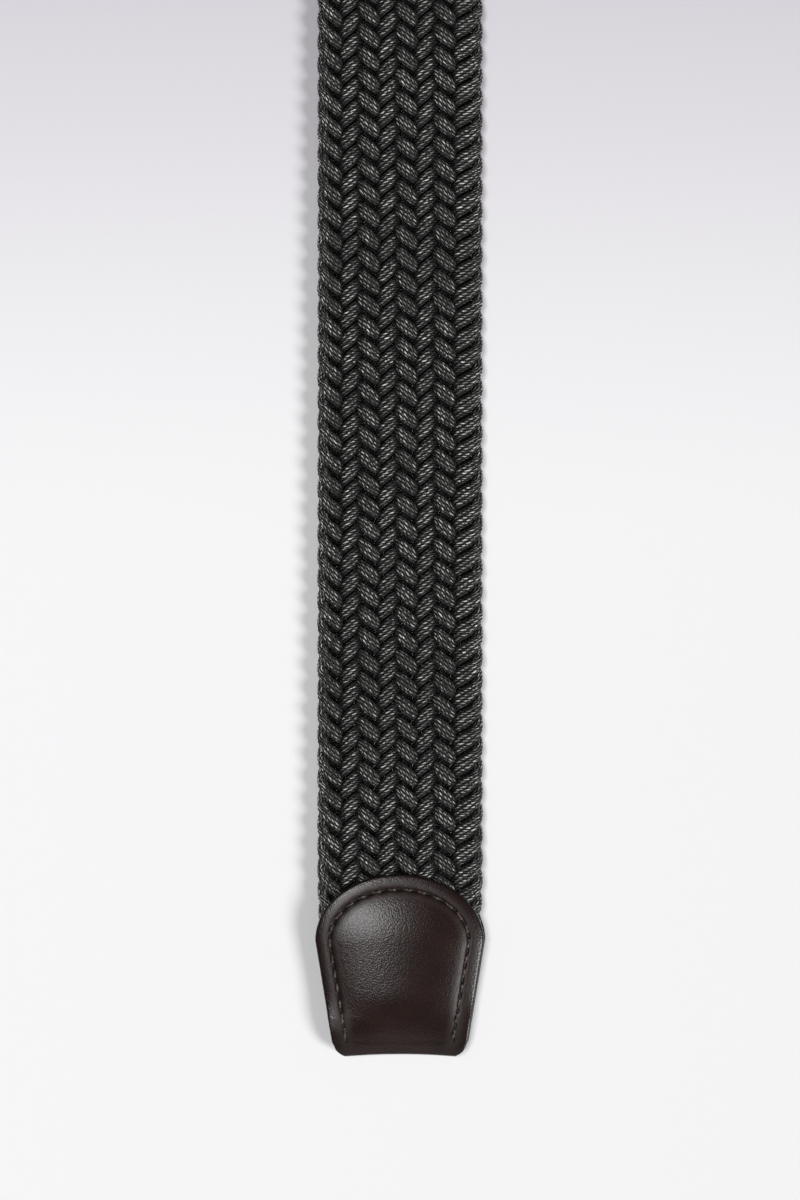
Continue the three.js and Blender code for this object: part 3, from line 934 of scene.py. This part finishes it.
def yarn_finish():
    """Twisted cords of slanting plies, with painted highlights as bright flecks of random strength on the ply
    crests, painted shade in the hollows and a painted highlight along the left edge.
    """
    found = bpy.data.materials.get("yarn")
    if found:
        return found
    colours = bpy.context.scene.belt_colours
    ply_pitch = sizes_in_mm().ply_pitch
    material, tree = new_material("yarn")
    cord, along = pattern_place(tree)
    spot = add_node(tree, "ShaderNodeTexCoord", {}, {}, "Object")
    wander = noise(tree, spot, 700.0, 2.0)
    ply = along / ply_pitch + cord * 1.6 + (wander - 0.5) * 0.9
    across = (cord.fract() * math.pi).sine()
    round_ply = (ply * math.pi).sine().absolute()
    cell = add_node(tree, "ShaderNodeCombineXYZ", {}, {0: cord.floor(), 1: ply.floor()})
    chance = add_node(tree, "ShaderNodeTexWhiteNoise", {"noise_dimensions": "2D"}, {"Vector": cell})
    fibre = noise(tree, spot, 4200.0, 2.0)
    painted_light_height = add_node(tree, "ShaderNodeAttribute", {"attribute_name": "painted_light_height"}, {}, "Fac")
    crest = round_ply.above(0.5, 0.95) * across.above(0.4, 0.9)
    fleck = noise(tree, spot, 1700.0, 1.0)
    # Painted highlights: bright flecks of random strength on the ply crests where the cords stand out, stronger
    # along the left edge.
    light = (0.15 + 0.85 * chance * chance) * crest * painted_light_height.above(0.1, 0.8) * fleck.above(0.36, 0.56)
    light = light * (0.4 + 0.6 * painted_light_height)
    # Painted shade: the yarn darkens to three tenths of its colour in the hollows.
    colour = blend_colours(tree, painted_light_height, opaque(colours.yarn, 0.3), opaque(colours.yarn))
    colour = blend_colours(tree, light, colour, opaque(colours.yarn_painted_highlight))
    height = across * 0.15 + (round_ply ** 0.8) * 0.22 + fibre * 0.03
    inputs = {
        "Base Color": colour,
        "Roughness": 0.55 + fibre * 0.1,
        "Specular IOR Level": 0.3,
        "Coat Weight": painted_light_height * crest,
        "Coat Roughness": 0.32,
    }
    return finish_surface(material, tree, inputs, height, 1.0 * MM)


def leather_finish():
    """Dark brown leather: fine pebbles with painted shade between them, a soft gloss, painted shade in the
    holes under the stitches and painted edges.

    It is duller along the seam, where the thread strains it.
    """
    colours = bpy.context.scene.belt_colours
    sizes = sizes_in_mm()
    material, tree = new_material("leather")
    stitch, inset = pattern_place(tree)
    spot = add_node(tree, "ShaderNodeTexCoord", {}, {}, "Object")
    pebble = add_node(
        tree, "ShaderNodeTexVoronoi", {"feature": "SMOOTH_F1"},
        {"Vector": spot, "Scale": 2900.0, "Smoothness": 0.6}, "Distance",
    )
    crease = noise(tree, spot, 3200.0, 3.0)
    mottle = noise(tree, spot, 160.0, 3.0)
    paint = add_node(tree, "ShaderNodeAttribute", {"attribute_name": "paint"}, {}, "Fac")
    from_hole = ((stitch + 0.5).fract() - 0.5) * sizes.stitch_pitch
    from_seam = inset - sizes.seam_inset
    # Painted shade: the holes under the stitches are painted with the black of the edge paint.
    hole = 1 - ((from_hole * from_hole * 0.4 + from_seam * from_seam) ** 0.5).above(0.18, 0.42)
    darker, lighter = opaque(colours.leather, 0.7), opaque(colours.leather, 1.2)
    colour = blend_colours(tree, mottle.above(0.3, 0.7), darker, lighter)
    # Painted shade between the pebbles, where the grain lies low.
    colour = blend_colours(tree, pebble.above(0.35, 0.75) * 0.4, colour, darker)
    black = paint.math("MAXIMUM", paint, hole)
    colour = blend_colours(tree, black, colour, opaque(colours.edge_paint))
    grain = (1 - paint) * (1 - pebble.above(0.1, 0.8)) * 0.017 + crease * 0.008 - hole * 0.2
    strained = 1 - from_seam.absolute().above(0.5, 2.4)
    rough = 0.23 + pebble * 0.05 + crease * 0.04 + hole * 0.2 + strained * 0.16
    inputs = {"Base Color": colour, "Roughness": rough, "Specular IOR Level": 0.36}
    return finish_surface(material, tree, inputs, grain, 1.0 * MM)


def thread_finish():
    """Waxed thread: slanting plies with a soft gloss, and painted highlights on some of the ply crests."""
    colours = bpy.context.scene.belt_colours
    material, tree = new_material("thread")
    around, along = pattern_place(tree)
    spot = add_node(tree, "ShaderNodeTexCoord", {}, {}, "Object")
    glint_spots = noise(tree, spot, 1500.0, 1.0)
    ply = ((along / 0.42 + around * 2.0) * math.pi).sine().absolute()
    # Painted highlights: some ply crests are painted twenty times lighter than the thread.
    light = ply.above(0.6, 1.0) * glint_spots.above(0.45, 0.62)
    colour = blend_colours(tree, light, opaque(colours.thread), opaque(colours.thread, 20))
    return finish_surface(material, tree, {"Base Color": colour, "Roughness": 0.42}, ply * 0.06, 1.0 * MM)


def metal_finish():
    """Satin metal: fine brushing along the belt, faint cloudiness and a soft gloss."""
    colours = bpy.context.scene.belt_colours
    material, tree = new_material("buckle_metal")
    spot = add_node(tree, "ShaderNodeTexCoord", {}, {}, "Object")
    stretched = add_node(tree, "ShaderNodeMapping", {}, {"Vector": spot, "Scale": (6000.0, 350.0, 6000.0)})
    brush = noise(tree, stretched, 1.0, 3.0)
    cloud = noise(tree, spot, 120.0, 4.0)
    colour = blend_colours(tree, cloud.above(0.35, 0.65), opaque(colours.metal, 0.8), opaque(colours.metal))
    inputs = {"Base Color": colour, "Roughness": 0.24 + brush * 0.18, "Metallic": 1.0}
    return finish_surface(material, tree, inputs, brush, 0.012 * MM)


class BELT_OT_buckle(bpy.types.Operator):
    """Give the buckle its satin metal"""

    bl_idname = "belt.buckle"
    bl_label = "Finish the buckle"

    def execute(self, context):
        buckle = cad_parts["buckle"]
        buckle.data.materials.clear()
        buckle.data.materials.append(metal_finish())
        return {"FINISHED"}


# The stage


class BELT_OT_stage(bpy.types.Operator):
    """Lay the pale floor, light it softly and set the camera straight above the tip"""

    bl_idname = "belt.stage"
    bl_label = "Set the stage"

    PIXEL = 0.2115 * MM  # of the photo's 800 by 1200, at the belt
    FRAME_HEIGHT = 1200
    CENTRE_UP = 457.0  # pixels from the tip's end up to the picture's middle
    BELT_TOP = 3.0 * MM  # the height at which a pixel has its size
    LENS = 100.0
    SENSOR = 36.0
    FLOOR_HALF = 12.0
    FLOOR_DROP = 0.05 * MM  # under the belt's undersides
    LIT_POINT = (0.0, -0.45, 0.0)

    def execute(self, context):
        self.floor()
        self.lights()
        self.camera(context)
        context.scene.view_settings.view_transform = "Standard"
        return {"FINISHED"}

    def floor(self):
        """One wide square under the belt."""
        half, low = self.FLOOR_HALF, -self.FLOOR_DROP
        mesh = bpy.data.meshes.new("floor")
        corners = [(-half, -half, low), (half, -half, low), (half, half, low), (-half, half, low)]
        mesh.from_pydata(corners, [], [(0, 1, 2, 3)])
        floor = bpy.data.objects.new("floor", mesh)
        bpy.context.scene.collection.objects.link(floor)
        mesh.materials.append(floor_finish())

    def lights(self):
        """A distant lamp from the right, a soft one above, a weak one beyond the tip and a faint sky."""
        key = bpy.data.lights.new("key_right", "SUN")
        key.angle = math.radians(20)
        key.energy = 2.44
        self.add_lamp(key, (2.26, -1.65, 1.93))
        for name, place, size, power in (
            ("soft_upper_left", (-0.64, -0.37, 2.42), 0.80, 33.0),
            ("fill_below", (0.0, -2.65, 1.40), 1.60, 6.2),
        ):
            light = bpy.data.lights.new(name, "AREA")
            light.shape = "SQUARE"
            light.size = size
            light.energy = power
            self.add_lamp(light, place)
        world = bpy.data.worlds.new("studio")
        world.use_nodes = True
        sky = world.node_tree.nodes["Background"]
        sky.inputs["Color"].default_value = (1, 1, 1, 1)
        sky.inputs["Strength"].default_value = 0.08
        bpy.context.scene.world = world

    def add_lamp(self, light, place):
        """Hangs a lamp at a place, aimed at the belt a little above the tip."""
        lamp = bpy.data.objects.new(light.name, light)
        lamp.location = place
        lamp.rotation_euler = (Vector(self.LIT_POINT) - Vector(place)).to_track_quat("-Z", "Y").to_euler()
        bpy.context.scene.collection.objects.link(lamp)

    def camera(self, context):
        """Straight down from where the picture's height covers its pixels' size on the belt."""
        data = bpy.data.cameras.new("camera")
        data.lens = self.LENS
        data.sensor_width = self.SENSOR
        data.clip_start = 0.01
        camera = bpy.data.objects.new("camera", data)
        distance = self.PIXEL * self.FRAME_HEIGHT * self.LENS / self.SENSOR
        middle = TIP_END * MM + self.CENTRE_UP * self.PIXEL
        camera.location = (0.0, middle, self.BELT_TOP + distance)
        context.scene.collection.objects.link(camera)
        context.scene.camera = camera


def floor_finish():
    """Matt paper with the faintest grain, with a painted pool of light round the tip and painted shade away
    from it.

    The painted pool fades with the distance from its middle, which counts in full towards the buckle, three
    tenths the other way and a quarter across.
    """
    pool_middle = -0.6
    fade_start, fade_end = 0.157, 0.3285
    colours = bpy.context.scene.belt_colours
    material, tree = new_material("floor_paper")
    spot = add_node(tree, "ShaderNodeTexCoord", {}, {}, "Object")
    grain = noise(tree, spot, 800.0, 2.0)
    across, along = first_two(tree, spot)
    along = along - pool_middle
    along = along.math("MAXIMUM", along, along * -0.3)
    across = across * 0.25
    # Painted shade: the paper darkens towards the far colour as it leaves the painted pool of light.
    far = ((across * across + along * along) ** 0.5).above(fade_start, fade_end)
    colour = blend_colours(tree, far, opaque(colours.floor), opaque(colours.floor_painted_shade))
    inputs = {"Base Color": colour, "Roughness": 0.9, "Specular IOR Level": 0.1}
    return finish_surface(material, tree, inputs, grain, 0.02 * MM)


OPERATORS = (
    BELT_OT_stage,
    BELT_OT_braid,
    BELT_OT_strap_ends,
    BELT_OT_leathers,
    BELT_OT_seams,
    BELT_OT_buckle,
)


class BELT_PT_panel(bpy.types.Panel):
    """The belt's sizes, colours and steps"""

    bl_idname = "BELT_PT_panel"
    bl_label = "Braided belt"
    bl_space_type = "VIEW_3D"
    bl_region_type = "UI"
    bl_category = "Belt"

    def draw(self, context):
        for group in (context.scene.belt_sizes, context.scene.belt_colours):
            box = self.layout.box()
            for name in type(group).__annotations__:
                box.prop(group, name)
        for operator in OPERATORS:
            self.layout.operator(operator.bl_idname)


CLASSES = (BeltSizes, BeltColours, *OPERATORS, BELT_PT_panel)


def register():
    for each in CLASSES:
        bpy.utils.register_class(each)
    bpy.types.Scene.belt_sizes = bpy.props.PointerProperty(type=BeltSizes)
    bpy.types.Scene.belt_colours = bpy.props.PointerProperty(type=BeltColours)


def unregister():
    del bpy.types.Scene.belt_colours
    del bpy.types.Scene.belt_sizes
    for each in reversed(CLASSES):
        bpy.utils.unregister_class(each)


def main():
    register()
    bpy.ops.belt.stage()
    bpy.ops.belt.braid()
    bpy.ops.belt.strap_ends()
    bpy.ops.belt.leathers()
    bpy.ops.belt.seams()
    bpy.ops.belt.buckle()


if __name__ == "__main__":
    main()
